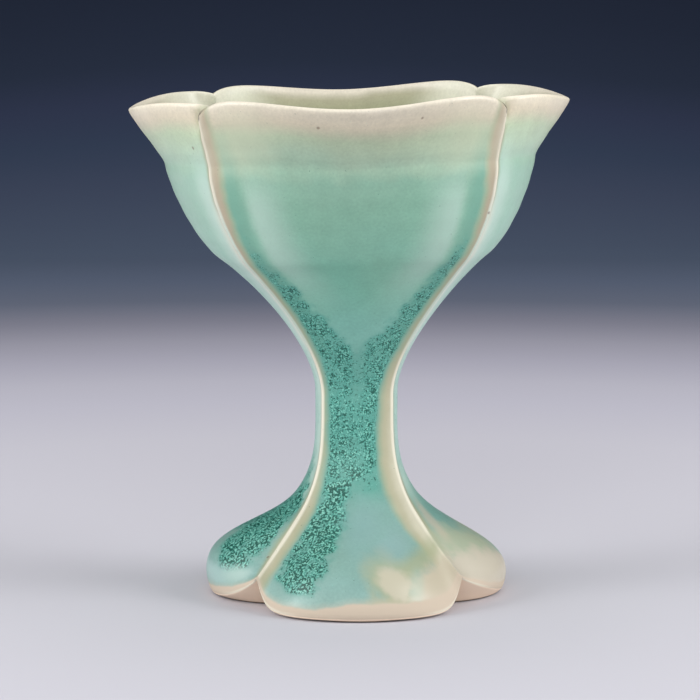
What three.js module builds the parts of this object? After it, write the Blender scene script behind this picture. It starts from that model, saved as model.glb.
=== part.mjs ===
// Goblet vase in porcelain: a thrown bowl on a thrown, hollow trumpet foot.
// While soft, both were pressed into four lobes, which leaves four raised
// crests running from the lip down the stem to the foot. The two pieces are
// luted together just above the waist with a bed of slip, then glazed.
//
// Millimetres, +Z up. The vase stands on Z = 0, the lobes face X and Y, and
// the origin lies on the floor under the middle of the lip.

import * as THREE from 'three';
import { mergeVertices } from 'three/addons/utils/BufferGeometryUtils.js';

// Height from the floor to the lip at the middle of a lobe, and the pedestal's
// share of it. The knee, where the foot turns into the stem, is a share of the
// pedestal. The belly, where the bowl turns up, and the neck, where it turns out
// again, are shares of the bowl.
const vaseHeight = 173.5;
const pedestalShare = 0.41;
const kneeShare = 0.52;
const bellyShare = 0.483;
const neckShare = 0.814;
const slipThickness = 1;
const footEdgeHeight = 1.2;

// Reach from the axis to the middle of a lobe at those heights.
const footReach = 52.4;
const kneeReach = 20.6;
const waistReach = 14.6;
const bellyReach = 47.7;
const neckReach = 65.3;
const lipReach = 77.4;

// How much further out the corner between two lobes lies there, under its crest.
const footCornerExtra = -2.7;
const kneeCornerExtra = 2.4;
const waistCornerExtra = 1.4;
const bellyCornerExtra = 3.6;
const neckCornerExtra = 2;
const lipCornerExtra = -4;

// Lean of the outline away from upright, in degrees, positive where it opens upwards.
const footLean = 22;
const hollowLean = -10;
const notchLean = -55;
const kneeLean = -33;
const bellyLean = 53;
const bellyCornerLean = 46;
const neckLean = 9;
const neckCornerLean = 0;
const lipLean = 15;
const lipCornerLean = 3;

// Fullness of each curve, as the share of its span that a curve handle takes.
const footFullness = 0.42;
const notchFullness = 0.24;
const stemFullness = 0.37;
const bowlFullness = 0.26;
const flareFullness = 0.14;

// The crests, and the cleft at the lip beside each one, where the rim of one
// petal is tucked in behind the next. The tuck spreads wider and deeper on the
// inside. The lip drops at the crest, suddenly on the tucked side and slowly on
// the other.
const crestHeight = 1.6;
const crestSoftness = 2.4;
const cleftDepth = 4.6;
const cleftAside = 1.8;
const cleftSoftness = 1.8;
const cleftSpread = 1.4;
const cleftLength = 15;
const lipDrop = 3.9;
const dropSoftness = 5;
const tuckedDropSoftness = 1.4;

// The lip climbs from the middle of a lobe to a hump beside each cleft. The
// hump's place is a share of the way across, and its length reaches down the wall.
const humpHeight = 3.3;
const humpPlace = 0.8;
const humpLength = 30;

// Clay walls. The inside of the bowl rounds off into its floor from floorStart,
// a share of the way up the lower bowl.
const lipWall = 1.9;
const bowlWall = 4.2;
const floorThickness = 8;
const floorStart = 0.3;
const stemWall = 5.4;
const footWall = 5;

// The foot's four petals, cut with a slanted knife down to a flat ring. Their
// edge climbs into a notch beside each crest and is undercut more there.
const notchClimb = 9.8;
const petalUndercut = 1.5;
const notchUndercut = 13.7;
const ringWidth = 6;
const ringEdge = 0.6;

// The petals facing +X, +Y, -X and -Y, each shaped by hand. At the lip the side
// ones are tucked in behind the others, which rise higher. At the foot an edge
// climbs late where its sharpness is high, and a petal may bulge further out at
// a height of its own.
const petals = [
  { tucked: true, rise: 0, sharpness: 1.8, bulge: 0, bulgeHeight: 0 },
  { tucked: false, rise: 1.2, sharpness: 3, bulge: 0, bulgeHeight: 0 },
  { tucked: true, rise: 0, sharpness: 3, bulge: 3.5, bulgeHeight: 21 },
  { tucked: false, rise: 1.2, sharpness: 9, bulge: 5, bulgeHeight: 0 },
];
const bulgeSpread = 8;

// As it dried the bowl sank a little to the left, from a share of its height
// up, and its lip tilted with it, in degrees.
const sunkAside = 2.7;
const sinkShare = 0.22;
const lipTilt = 1.3;

// Fineness of the surface: spokes in one lobe, how far they crowd towards the
// crests, and rows along each span of the outline.
const spokesInLobe = 20;
const crowding = 0.75;
const outerRows = { foot: 12, stem: 9, lowerBowl: 11, upperBowl: 7, flare: 6 };
const innerRows = { foot: 8, stem: 5, floor: 4, lowerBowl: 5, upperBowl: 5, flare: 3 };
const lipRows = 4;

const glazeColour = 0x8ebaa6;
const stemGlazeColour = 0x6fa896;
const glazeRoughness = 0.42;

// Heights and reaches that follow from the sizes above.
const jointHeight = pedestalShare * vaseHeight;
const kneeHeight = kneeShare * jointHeight;
const slipTop = jointHeight + slipThickness;
const bowlHeight = vaseHeight - slipTop;
const bellyHeight = slipTop + bellyShare * bowlHeight;
const neckHeight = slipTop + neckShare * bowlHeight;
const sinkHeight = slipTop + sinkShare * bowlHeight;
const boreReach = waistReach - stemWall;
const floorHeight = slipTop + floorThickness;
const lobes = petals.length;
const halfLobe = Math.PI / lobes;

/** A turning place of the outline: reach, height and heading in degrees off upright. */
function place(reach, height, lean) {
  const angle = THREE.MathUtils.degToRad(lean);
  return {
    at: new THREE.Vector2(reach, height),
    heading: new THREE.Vector2(Math.sin(angle), Math.cos(angle)),
  };
}

/** A smooth curve from one turning place to the next, along the heading of each. */
function span(from, to, fullness) {
  const handle = fullness * from.at.distanceTo(to.at);
  const leaving = from.at.clone().addScaledVector(from.heading, handle);
  const arriving = to.at.clone().addScaledVector(to.heading, -handle);
  return new THREE.CubicBezierCurve(from.at, leaving, arriving, to.at);
}

/** A station of a section: where the surface lies at mid lobe and at the corner between lobes. */
function station(lobe, corner, shape = {}) {
  return { lobe, corner, crest: 0, cleft: 0, spread: 1, hump: 0, ...shape };
}

/** Stations along two matching spans of guide line, without the last one. */
function stationsAlong(lobeCurve, cornerCurve, count, shapeAt) {
  const stations = [];
  for (let i = 0; i < count; i++) {
    const lobe = lobeCurve.getPoint(i / count);
    const corner = cornerCurve.getPoint(i / count);
    stations.push(station(lobe, corner, shapeAt(lobe.y)));
  }
  return stations;
}

/** The point beside a curve, a wall's thickness in from the outside. */
function insideOf(curve, t, wall) {
  const tangent = curve.getTangent(t);
  return curve.getPoint(t).add(new THREE.Vector2(-tangent.y, tangent.x).multiplyScalar(wall));
}

/** The crest, cleft and hump of the outer skin at a height. */
function skinShape(height) {
  return { crest: crestHeight, ...lipShape(height) };
}

/** The cleft and hump alone, which both sides of the wall share near the lip. */
function lipShape(height) {
  return {
    cleft: THREE.MathUtils.smoothstep(height, vaseHeight - cleftLength, vaseHeight) ** 2,
    hump: THREE.MathUtils.smoothstep(height, vaseHeight - humpLength, vaseHeight),
  };
}

/** Reach of a lobe at an angle from its middle: an arc through its middle and both corners. */
function lobeReach(middle, corner, fromMiddle) {
  const halfChord = corner * Math.cos(halfLobe);
  const rise = middle - halfChord;
  const radius = (halfChord ** 2 + rise ** 2) / (2 * rise);
  const centre = middle - radius;
  const across = centre * Math.sin(fromMiddle);
  return centre * Math.cos(fromMiddle) + Math.sign(radius) * Math.sqrt(radius ** 2 - across ** 2);
}

/** How far a petal's foot bulges out at a height, fading out towards its corners. */
function bulged({ bulge, bulgeHeight }, height, share) {
  const fromBulge = (height - bulgeHeight) / bulgeSpread;
  return bulge * Math.exp(-(fromBulge ** 2)) * (1 - share ** 4);
}

/** The surface point of a station at a share of the way (-1 to 1) across a lobe. */
function surfacePoint({ lobe, corner, crest, cleft, spread, hump }, lobeIndex, share) {
  const petal = petals[lobeIndex];
  const fromMiddle = share * halfLobe;
  const arc = lobe.x > 0 ? lobeReach(lobe.x, corner.x, fromMiddle) : 0;
  const fromCrest = arc * (halfLobe - Math.abs(fromMiddle));
  const fromCleft = Math.abs((petal.tucked ? fromCrest : -fromCrest) - cleftAside);
  const raised = crest * Math.exp(-fromCrest / crestSoftness);
  const parted = cleft * Math.exp(-fromCleft / (cleftSoftness * spread));
  const reach = arc + bulged(petal, lobe.y, share) + raised - cleftDepth * spread * parted;

  const climb = humpHeight * THREE.MathUtils.smoothstep(Math.abs(share), 0, humpPlace);
  const risen = petal.rise * (1 - share ** 8);
  const dropped = cleft * Math.exp(-fromCrest / (petal.tucked ? tuckedDropSoftness : dropSoftness));
  const slope = (corner.y - lobe.y) * Math.abs(share) ** petal.sharpness;
  const height = lobe.y + slope + hump * (climb + risen) - lipDrop * dropped;
  const angle = fromMiddle + 2 * halfLobe * lobeIndex;
  return new THREE.Vector3(reach * Math.cos(angle), reach * Math.sin(angle), height);
}

/** Lets the upper bowl sink sideways, so that the lip ends over the origin. */
function settle(point) {
  const aside = sunkAside * (1 - THREE.MathUtils.smoothstep(point.z, sinkHeight, vaseHeight));
  const tangent = Math.tan(THREE.MathUtils.degToRad(lipTilt));
  const tilt = tangent * THREE.MathUtils.smoothstep(point.z, slipTop, bellyHeight);
  return new THREE.Vector3(point.x + aside, point.y, point.z + tilt * point.x);
}

/** Turns a profile of stations into a round solid, then presses it into lobes. */
function pressedSolid(stations) {
  const spokes = lobes * spokesInLobe;
  const profile = stations.map((each) => each.lobe);
  const geometry = new THREE.LatheGeometry(profile, spokes);
  const position = geometry.attributes.position;
  for (let spoke = 0; spoke <= spokes; spoke++) {
    const lobeIndex = Math.floor(spoke / spokesInLobe) % lobes;
    const even = (2 * (spoke % spokesInLobe)) / spokesInLobe - 1;
    const share = (1 - crowding) * even + crowding * Math.sin((even * Math.PI) / 2);
    stations.forEach((each, index) => {
      const point = settle(surfacePoint(each, lobeIndex, share));
      position.setXYZ(spoke * stations.length + index, point.x, point.y, point.z);
    });
  }
  geometry.deleteAttribute('normal');
  geometry.deleteAttribute('uv');
  return mergeVertices(geometry);
}

/** The spans of the outside from the edge of the foot up to the lip, through its turning places. */
function guideLine({ foot, knee, waist, belly, neck, lip }, fullness) {
  const seat = place(waist.at.x, slipTop, 0);
  return {
    foot: span(foot, knee, fullness),
    stem: span(knee, waist, stemFullness),
    lowerBowl: span(seat, belly, bowlFullness),
    upperBowl: span(belly, neck, bowlFullness),
    flare: span(neck, lip, flareFullness),
  };
}

const lobeLine = guideLine({
  foot: place(footReach, footEdgeHeight, footLean),
  knee: place(kneeReach, kneeHeight, kneeLean),
  waist: place(waistReach, jointHeight, 0),
  belly: place(bellyReach, bellyHeight, bellyLean),
  neck: place(neckReach, neckHeight, neckLean),
  lip: place(lipReach, vaseHeight, lipLean),
}, footFullness);
const cornerLine = guideLine({
  foot: place(footReach + footCornerExtra, footEdgeHeight + notchClimb, notchLean),
  knee: place(kneeReach + kneeCornerExtra, kneeHeight, kneeLean),
  waist: place(waistReach + waistCornerExtra, jointHeight, 0),
  belly: place(bellyReach + bellyCornerExtra, bellyHeight, bellyCornerLean),
  neck: place(neckReach + neckCornerExtra, neckHeight, neckCornerLean),
  lip: place(lipReach + lipCornerExtra, vaseHeight, lipCornerLean),
}, notchFullness);
const bowlSpans = ['lowerBowl', 'upperBowl', 'flare'];

/** A station on the flat joint, at a height, on its outer edge. */
function jointEdge(height) {
  const lobe = new THREE.Vector2(waistReach, height);
  const corner = new THREE.Vector2(waistReach + waistCornerExtra, height);
  return station(lobe, corner, { crest: crestHeight });
}

/** A station on a plain round circle. */
function circle(reach, height) {
  const at = new THREE.Vector2(reach, height);
  return station(at, at);
}

/** Stations of the outer skin along a named span of the guide lines. */
function skinAlong(name) {
  return stationsAlong(lobeLine[name], cornerLine[name], outerRows[name], skinShape);
}

/** A station on the inner skin of the bowl, beside a place on a named span of the guide lines. */
function bowlInside(name, t) {
  const climbed = (bowlSpans.indexOf(name) + t) / bowlSpans.length;
  const wall = THREE.MathUtils.lerp(bowlWall, lipWall, climbed);
  const lobe = insideOf(lobeLine[name], t, wall);
  const corner = insideOf(cornerLine[name], t, wall);
  const shape = lipShape(lobeLine[name].getPoint(t).y);
  return station(lobe, corner, { ...shape, spread: cleftSpread });
}

/** Stations down the inside of the bowl along a named span, from its top to a share of its length. */
function bowlInsideAlong(name, lowest) {
  const rows = innerRows[name];
  const stations = [];
  for (let i = 0; i < rows; i++) {
    stations.push(bowlInside(name, THREE.MathUtils.lerp(1, lowest, i / rows)));
  }
  return stations;
}

/** A station on the rounded lip, an angle round from its outer to its inner edge. */
function lipStation(inner, around) {
  const roundOver = (curve, innerEdge) => {
    const outerEdge = curve.getPoint(1);
    const middle = outerEdge.clone().lerp(innerEdge, 0.5);
    const outwards = outerEdge.sub(middle).multiplyScalar(Math.cos(around));
    const upwards = curve.getTangent(1).multiplyScalar((lipWall / 2) * Math.sin(around));
    return middle.add(outwards).add(upwards);
  };
  const lobe = roundOver(lobeLine.flare, inner.lobe);
  const corner = roundOver(cornerLine.flare, inner.corner);
  const crest = crestHeight * Math.max(Math.cos(around), 0);
  const spread = THREE.MathUtils.lerp(1, cleftSpread, around / Math.PI);
  return station(lobe, corner, { ...lipShape(vaseHeight), spread, crest });
}

/** The rounded bottom of the inside, from the wall down and in to the axis. */
function floorCurve(start, wallTangent) {
  const down = (start.y - floorHeight) / wallTangent.y;
  const turnReach = Math.max(start.x - wallTangent.x * down, start.x / 2);
  const turn = new THREE.Vector2(turnReach, floorHeight);
  return new THREE.QuadraticBezierCurve(start, turn, new THREE.Vector2(0, floorHeight));
}

/** The bowl: seat, outside, rounded lip, inside and a rounded floor. */
function bowlProfile() {
  const outside = bowlSpans.flatMap(skinAlong);
  const last = bowlInside('lowerBowl', floorStart);
  const inside = [
    ...bowlInsideAlong('flare', 0),
    ...bowlInsideAlong('upperBowl', 0),
    ...bowlInsideAlong('lowerBowl', floorStart),
  ];

  const lip = [];
  for (let i = 0; i < lipRows; i++) lip.push(lipStation(inside[0], (Math.PI * i) / lipRows));

  const lobeFloor = floorCurve(last.lobe, lobeLine.lowerBowl.getTangent(floorStart));
  const cornerFloor = floorCurve(last.corner, cornerLine.lowerBowl.getTangent(floorStart));
  const floor = stationsAlong(lobeFloor, cornerFloor, innerRows.floor, () => ({}));
  return [circle(0, slipTop), ...outside, ...lip, ...inside, ...floor, circle(0, floorHeight)];
}

/** The pedestal: stem and petalled foot outside, flat ring below, hollow inside. */
function pedestalProfile() {
  const ringReach = footReach - petalUndercut;
  const ringCornerReach = footReach + footCornerExtra - notchUndercut;
  const onRing = (inwards, height) => station(
    new THREE.Vector2(ringReach - inwards, height),
    new THREE.Vector2(ringCornerReach - inwards, height));
  const outside = [...skinAlong('foot'), ...skinAlong('stem')];

  const hollowLine = (ring, { foot }) => {
    const { x, y } = insideOf(foot, 1, footWall);
    const knee = place(x, y, kneeLean);
    return [
      span(place(ring - ringWidth, 0, hollowLean), knee, footFullness),
      span(knee, place(boreReach, jointHeight, 0), stemFullness),
    ];
  };
  const lobeHollow = hollowLine(ringReach, lobeLine);
  const cornerHollow = hollowLine(ringCornerReach, cornerLine);
  const hollow = [
    ...stationsAlong(lobeHollow[0], cornerHollow[0], innerRows.foot, () => ({})),
    ...stationsAlong(lobeHollow[1], cornerHollow[1], innerRows.stem, () => ({})),
    circle(boreReach, jointHeight),
  ].reverse();

  const foot = onRing(ringEdge, 0);
  return [foot, onRing(0, ringEdge), ...outside, jointEdge(jointHeight), ...hollow, foot];
}

/** The slip bed: a flat ring on the stem, open over its bore. */
function slipProfile() {
  return [
    circle(boreReach, jointHeight),
    jointEdge(jointHeight),
    jointEdge(slipTop),
    circle(boreReach, slipTop),
    circle(boreReach, jointHeight),
  ];
}

/** A named piece of glazed porcelain. */
function piece(name, profile, color) {
  const material = new THREE.MeshStandardMaterial({ color, roughness: glazeRoughness, metalness: 0 });
  const mesh = new THREE.Mesh(pressedSolid(profile), material);
  mesh.name = name;
  return mesh;
}

const vase = new THREE.Group();
vase.add(piece('bowl', bowlProfile(), glazeColour));
vase.add(piece('slip_bed', slipProfile(), stemGlazeColour));
vase.add(piece('pedestal', pedestalProfile(), stemGlazeColour));

export default vase;
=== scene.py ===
"""Goblet vase: lobed porcelain under a crystal glaze, in a plain soft studio.

The clay is shaped as the potter shapes it. A profile is thrown round, pressed
into four lobes and left to settle. Shapes are worked out in millimetres and
turned into metres where they enter a mesh.
"""

import logging
import math
from collections.abc import Callable, Sequence
from dataclasses import dataclass
from enum import Enum

import bmesh
import bpy
from mathutils import Matrix, Vector, noise


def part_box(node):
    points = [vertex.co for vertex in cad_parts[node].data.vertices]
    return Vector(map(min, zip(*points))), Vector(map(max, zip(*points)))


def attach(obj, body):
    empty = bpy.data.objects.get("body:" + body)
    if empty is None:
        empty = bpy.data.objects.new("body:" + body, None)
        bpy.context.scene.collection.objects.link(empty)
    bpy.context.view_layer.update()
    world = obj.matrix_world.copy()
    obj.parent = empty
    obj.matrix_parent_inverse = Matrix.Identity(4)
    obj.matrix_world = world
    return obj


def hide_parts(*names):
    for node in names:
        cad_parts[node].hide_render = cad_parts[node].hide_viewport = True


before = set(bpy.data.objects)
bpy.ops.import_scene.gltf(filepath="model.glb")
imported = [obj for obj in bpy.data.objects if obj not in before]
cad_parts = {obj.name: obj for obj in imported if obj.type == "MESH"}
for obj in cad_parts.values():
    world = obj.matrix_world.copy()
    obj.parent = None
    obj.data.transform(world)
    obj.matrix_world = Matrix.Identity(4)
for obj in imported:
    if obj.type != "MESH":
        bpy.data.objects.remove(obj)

log = logging.getLogger("goblet_vase")

MM = 0.001
LOBES = 4
HALF_LOBE = math.pi / LOBES
SPOKES = 320
TALLEST = 180
EVENLY = (1, 1, 1)

Colour = tuple[int, int, int]
Tones = tuple[tuple[float, Colour], ...]
Tree = bpy.types.NodeTree
Feeds = dict[str | int, object]
Shape = Callable[[float], dict[str, object]]


def smoothstep(value: float, low: float, high: float) -> float:
    """Eases a value from 0 at low to 1 at high."""
    share = min(max((value - low) / (high - low), 0.0), 1.0)
    return share * share * (3 - 2 * share)


def lerp(start: float, end: float, share: float) -> float:
    """Goes a share of the way from start to end."""
    return start + (end - start) * share


def linear(colour: Colour) -> tuple[float, float, float, float]:
    """Turns an 8-bit colour as the eye sees it into the linear colour that shaders take."""
    shares = [channel / 255 for channel in colour]
    parts = [c / 12.92 if c <= 0.04045 else ((c + 0.055) / 1.055) ** 2.4 for c in shares]
    return (*parts, 1.0)


class Skin(Enum):
    """Which side of the clay a thrown ring belongs to."""

    OUTSIDE = "outside"
    INSIDE = "inside"
    BARE = "bare"


@dataclass(frozen=True)
class Place:
    """A turning place of the outline, in millimetres and degrees off upright."""

    reach: float
    height: float
    lean: float

    def at(self) -> Vector:
        """The place in the plane of reach and height."""
        return Vector((self.reach, self.height))

    def heading(self) -> Vector:
        """The way the outline goes there."""
        return Vector((math.sin(math.radians(self.lean)), math.cos(math.radians(self.lean))))


@dataclass(frozen=True)
class Span:
    """One smooth span of a guide line between two turning places."""

    start: Vector
    leaving: Vector
    arriving: Vector
    end: Vector

    @classmethod
    def between(cls, start: Place, end: Place, fullness: float) -> "Span":
        """Joins two turning places.

        Args:
            start: The first place.
            end: The last place.
            fullness: Length of the curve's handles, as a share of the distance.

        Returns:
            The span from start to end.
        """
        first, last = start.at(), end.at()
        handle = fullness * (last - first).length
        return cls(first, first + start.heading() * handle, last - end.heading() * handle, last)

    def at(self, share: float) -> Vector:
        """The point a share of the way along."""
        rest = 1 - share
        low = self.start * rest**3 + self.leaving * (3 * rest * rest * share)
        return low + self.arriving * (3 * rest * share * share) + self.end * share**3

    def heading(self, share: float) -> Vector:
        """The unit tangent a share of the way along."""
        rest = 1 - share
        tangent = (self.leaving - self.start) * (rest * rest)
        tangent += (self.arriving - self.leaving) * (2 * rest * share)
        return (tangent + (self.end - self.arriving) * (share * share)).normalized()

    def inside(self, share: float, wall: float) -> Vector:
        """The point a wall's thickness in from the outside."""
        tangent = self.heading(share)
        return self.at(share) + Vector((-tangent.y, tangent.x)) * wall


@dataclass(frozen=True)
class Ring:
    """A thrown ring of clay: where it lies at mid lobe and at the corner between two lobes."""

    lobe: Vector
    corner: Vector
    crest: float = 0.0
    cleft: float = 0.0
    spread: float = 1.0
    hump: float = 0.0
    skin: Skin = Skin.OUTSIDE
    crisp: bool = False


@dataclass(frozen=True)
class Petal:
    """One of the four petals, each shaped by hand."""

    tucked: bool
    rise: float
    sharpness: float
    bulge: float = 0.0
    bulge_height: float = 0.0

    def bulged(self, height: float, share: float, spread: float) -> float:
        """How far the foot bulges out, fading out towards the petal's corners.

        Args:
            height: Height above the floor.
            share: Share of the way across the petal, from -1 to 1.
            spread: Height over which the bulge fades.

        Returns:
            The bulge in millimetres.
        """
        from_bulge = (height - self.bulge_height) / spread
        return self.bulge * math.exp(-(from_bulge**2)) * (1 - share**4)


@dataclass(frozen=True)
class Outline:
    """The outside of the vase: its turning places from the floor up, at mid lobe and at the corners."""

    joint_height: float = 71.135
    slip_top: float = 72.135
    sink_height: float = 94.435
    belly_height: float = 121.094
    lip_height: float = 173.5
    lobe: tuple[Place, ...] = (
        Place(52.4, 1.2, 22),
        Place(20.6, 36.99, -33),
        Place(14.6, joint_height, 0),
        Place(14.6, slip_top, 0),
        Place(47.7, belly_height, 53),
        Place(65.3, 154.646, 9),
        Place(77.4, lip_height, 15),
    )
    corner: tuple[Place, ...] = (
        Place(49.7, 11.0, -55),
        Place(23.0, 36.99, -33),
        Place(16.0, joint_height, 0),
        Place(16.0, slip_top, 0),
        Place(51.3, belly_height, 46),
        Place(67.3, 154.646, 0),
        Place(73.4, lip_height, 3),
    )
    lobe_fullness: tuple[float, ...] = (0.42, 0.37, 1 / 3, 0.26, 0.26, 0.14)
    corner_fullness: tuple[float, ...] = (0.24, 0.37, 1 / 3, 0.26, 0.26, 0.14)

    def spans(self) -> list[tuple[Span, Span]]:
        """The spans at mid lobe and corner: the foot, the stem, the slip and three for the bowl."""
        lobes = map(Span.between, self.lobe, self.lobe[1:], self.lobe_fullness)
        corners = map(Span.between, self.corner, self.corner[1:], self.corner_fullness)
        return list(zip(lobes, corners))

    def bowl(self) -> list[tuple[Span, Span]]:
        """The three spans of the bowl, from its seat to the lip."""
        return self.spans()[3:]


@dataclass(frozen=True)
class Press:
    """How the thrown rings are pressed into lobes, cut at the lip and left to settle."""

    outline: Outline
    petals: tuple[Petal, ...] = (
        Petal(tucked=True, rise=0, sharpness=1.8),
        Petal(tucked=False, rise=1.2, sharpness=3),
        Petal(tucked=True, rise=0, sharpness=3, bulge=3.5, bulge_height=21),
        Petal(tucked=False, rise=1.2, sharpness=9, bulge=5),
    )
    bulge_spread: float = 8.0
    crest_height: float = 1.6
    crest_softness: float = 2.4
    crest_tip: float = 0.22
    cleft_depth: float = 4.6
    cleft_aside: float = 1.8
    cleft_softness: float = 1.8
    cleft_spread: float = 1.4
    cleft_length: float = 15.0
    lip_drop: float = 3.9
    drop_softness: float = 5.0
    tucked_drop_softness: float = 1.4
    hump_height: float = 3.3
    hump_place: float = 0.8
    hump_length: float = 30.0
    sunk_aside: float = 2.7
    lip_tilt: float = 1.3
    crowding: float = 0.82
    wobble: float = 0.22
    wobble_fineness: float = 0.022
    ripple: float = 0.05
    inner_ripple: float = 0.11
    ripple_pitch: float = 7.5
    ripple_drift: float = 1.5
    drift_fineness: float = 0.03
    still_until: float = 8.0
    free_from: float = 20.0
    ripple_start: float = 100.0
    ripple_full: float = 125.0
    seam: float = 1e-4

    def lip_shape(self, height: float) -> dict[str, float]:
        """The cleft and hump of a ring at a height, which both sides of the wall share."""
        lip = self.outline.lip_height
        return {
            "cleft": smoothstep(height, lip - self.cleft_length, lip) ** 2,
            "hump": smoothstep(height, lip - self.hump_length, lip),
        }

    def lobe_reach(self, middle: float, corner: float, angle: float) -> float:
        """Reach of a lobe at an angle: an arc through its middle and both corners.

        Args:
            middle: Reach at mid lobe.
            corner: Reach at the corners.
            angle: Angle from mid lobe.

        Returns:
            The reach in millimetres.
        """
        half_chord = corner * math.cos(HALF_LOBE)
        rise = middle - half_chord
        radius = (half_chord**2 + rise**2) / (2 * rise)
        centre = middle - radius
        across = centre * math.sin(angle)
        return centre * math.cos(angle) + math.copysign(math.sqrt(radius**2 - across**2), radius)

    def pressed(self, ring: Ring, lobe_index: int, share: float) -> tuple[Vector, float]:
        """Presses one point of a ring.

        Args:
            ring: The thrown ring.
            lobe_index: Which lobe the point is in.
            share: Share of the way across the lobe, from -1 to 1.

        Returns:
            The point before settling, and its distance from the nearest crest.
        """
        petal = self.petals[lobe_index % LOBES]
        angle = share * HALF_LOBE
        arc = self.lobe_reach(ring.lobe.x, ring.corner.x, angle) if ring.lobe.x > 0 else 0.0
        from_crest = arc * (HALF_LOBE - abs(angle))
        from_cleft = abs((from_crest if petal.tucked else -from_crest) - self.cleft_aside)
        rounded_off = math.hypot(from_crest, self.crest_tip) - self.crest_tip
        raised = ring.crest * math.exp(-rounded_off / self.crest_softness)
        parted = ring.cleft * math.exp(-from_cleft / (self.cleft_softness * ring.spread))
        climb = self.hump_height * smoothstep(abs(share), 0, self.hump_place)
        risen = petal.rise * (1 - share**8)
        suddenness = self.tucked_drop_softness if petal.tucked else self.drop_softness
        dropped = ring.cleft * math.exp(-from_crest / suddenness)
        slope = (ring.corner.y - ring.lobe.y) * abs(share) ** petal.sharpness
        bulged = petal.bulged(ring.lobe.y, share, self.bulge_spread)
        reach = arc + bulged + raised - self.cleft_depth * ring.spread * parted
        height = ring.lobe.y + slope + ring.hump * (climb + risen) - self.lip_drop * dropped
        turned = angle + 2 * HALF_LOBE * lobe_index
        return Vector((reach * math.cos(turned), reach * math.sin(turned), height)), from_crest

    def worked(self, point: Vector, ring: Ring) -> Vector:
        """Adds the potter's hand: a slight wobble, and faint throwing rings on the bowl.

        Args:
            point: The pressed point.
            ring: The ring that it belongs to.

        Returns:
            The point moved a little in or out.
        """
        reach = math.hypot(point.x, point.y)
        if reach < 1:
            return point
        free = smoothstep(point.z, self.still_until, self.free_from)
        move = self.wobble * noise.noise(point * self.wobble_fineness) * free
        on_bowl = smoothstep(point.z, self.ripple_start, self.ripple_full) * smoothstep(reach, 8, 30)
        drift = self.ripple_drift * noise.noise(point * self.drift_fineness)
        depth = self.inner_ripple if ring.skin is Skin.INSIDE else self.ripple
        move += on_bowl * depth * math.sin(2 * math.pi * point.z / self.ripple_pitch + drift)
        return point + Vector((point.x / reach, point.y / reach, 0)) * move

    def settled(self, point: Vector) -> Vector:
        """Lets a point of the upper bowl sink sideways, so that the lip ends over the origin."""
        aside = self.sunk_aside * (1 - smoothstep(point.z, self.outline.sink_height, self.outline.lip_height))
        tangent = math.tan(math.radians(self.lip_tilt))
        tilt = tangent * smoothstep(point.z, self.outline.slip_top, self.outline.belly_height)
        return Vector((point.x + aside, point.y, point.z + tilt * point.x))

    def thrown(self, name: str, rings: Sequence[Ring]) -> bpy.types.Object:
        """Throws a profile round and presses it into lobes.

        Args:
            name: Name of the finished piece.
            rings: The profile, from start to end. A last ring equal to the first closes it.

        Returns:
            The piece.
        """
        closed = rings[0] is rings[-1]
        profile = rings[:-1] if closed else rings
        bm = bmesh.new()
        index = bm.verts.layers.int.new("ring")
        verts = []
        for count, ring in enumerate(profile):
            verts.append(bm.verts.new((ring.lobe.x, 0, ring.lobe.y)))
            verts[-1][index] = count
        for pair in zip(verts, verts[1:]):
            bm.edges.new(pair)
        if closed:
            bm.edges.new((verts[-1], verts[0]))
        turn = {"cent": (0, 0, 0), "axis": (0, 0, 1), "angle": 2 * math.pi, "space": Matrix.Identity(4)}
        bmesh.ops.spin(bm, geom=bm.verts[:] + bm.edges[:], steps=SPOKES, use_merge=True, **turn)
        bmesh.ops.remove_doubles(bm, verts=bm.verts[:], dist=self.seam)
        self._press_all(bm, profile, index)
        bmesh.ops.recalc_face_normals(bm, faces=bm.faces[:])
        for edge in bm.edges:
            first, second = (profile[vert[index]] for vert in edge.verts)
            edge.smooth = not (first.crisp and first is second)
        bm.verts.layers.int.remove(index)
        return smooth_sheet(name, bm)

    def _press_all(self, bm: bmesh.types.BMesh, profile: Sequence[Ring], index: object) -> None:
        """Moves every spun vertex to its pressed place, and notes what the glaze needs to know.

        Args:
            bm: The spun profile.
            profile: Its rings.
            index: The layer that says which ring a vertex belongs to.
        """
        thrown = bm.verts.layers.float_vector.new("thrown")
        crest, inside, bare = (bm.verts.layers.float.new(name) for name in ("crest", "inside", "bare"))
        for vert in bm.verts:
            ring = profile[vert[index]]
            angle = math.atan2(vert.co.y, vert.co.x) % (2 * math.pi)
            lobe_index = math.floor(angle / (2 * HALF_LOBE) + 0.5)
            even = angle / HALF_LOBE - 2 * lobe_index
            share = (1 - self.crowding) * even + self.crowding * math.sin(even * math.pi / 2)
            point, from_crest = self.pressed(ring, lobe_index, share)
            vert[thrown] = Vector((point.x, point.y, ring.lobe.y))
            vert[crest] = from_crest
            vert[inside] = float(ring.skin is Skin.INSIDE)
            vert[bare] = float(ring.skin is Skin.BARE)
            vert.co = self.settled(self.worked(point, ring)) * MM


def smooth_sheet(name: str, bm: bmesh.types.BMesh) -> bpy.types.Object:
    """Puts a finished sheet of smooth faces into the scene as a named object."""
    for face in bm.faces:
        face.smooth = True
    mesh = bpy.data.meshes.new(name)
    bm.to_mesh(mesh)
    bm.free()
    return in_scene(name, mesh)


def in_scene(name: str, data: bpy.types.ID) -> bpy.types.Object:
    """Links new data into the scene as a named object."""
    made = bpy.data.objects.new(name, data)
    bpy.context.scene.collection.objects.link(made)
    return made


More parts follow.
